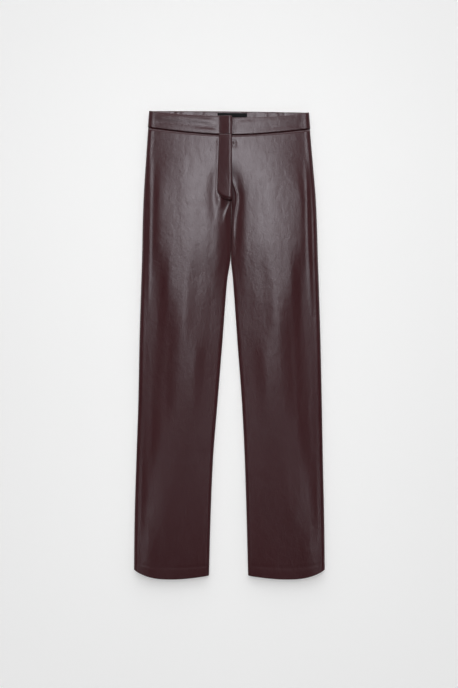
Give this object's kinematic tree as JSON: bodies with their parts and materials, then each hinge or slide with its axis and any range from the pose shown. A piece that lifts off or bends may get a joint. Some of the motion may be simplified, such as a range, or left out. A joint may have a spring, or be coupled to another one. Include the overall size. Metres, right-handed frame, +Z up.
{
  "type": "trousers",
  "caption": "Women's high-waisted straight-leg trousers in thin faux leather, laid out flat with the front up, with a covered zip fly, a plain waistband and turned-up hems.",
  "frame": {"origin": "on the surface the garment lies on, in the middle of its outline", "axes": "+Y from the hems towards the waist, +X towards the wearer's left, +Z up from the surface, out of the garment's front"},
  "size_m": [0.4356, 1.0676, 0.0235],
  "materials": {
    "faux_leather": "soft semi-gloss coated knit, dark burgundy brown",
    "label_cloth": "black satin weave, blank",
    "zip_tape": "woven tape, dark brown",
    "metal": "dull dark nickel"
  },
  "bodies": {
    "root": {"front_right": "faux_leather", "front_left": "faux_leather", "back_right": "faux_leather", "back_left": "faux_leather", "waistband_front_right": "faux_leather", "waistband_front_left": "faux_leather", "waistband_back": "faux_leather", "fly": "faux_leather", "zip": "zip_tape", "zip_slider": "metal", "waist_hook": "metal", "waist_label": "label_cloth"}
  },
  "joints": []
}
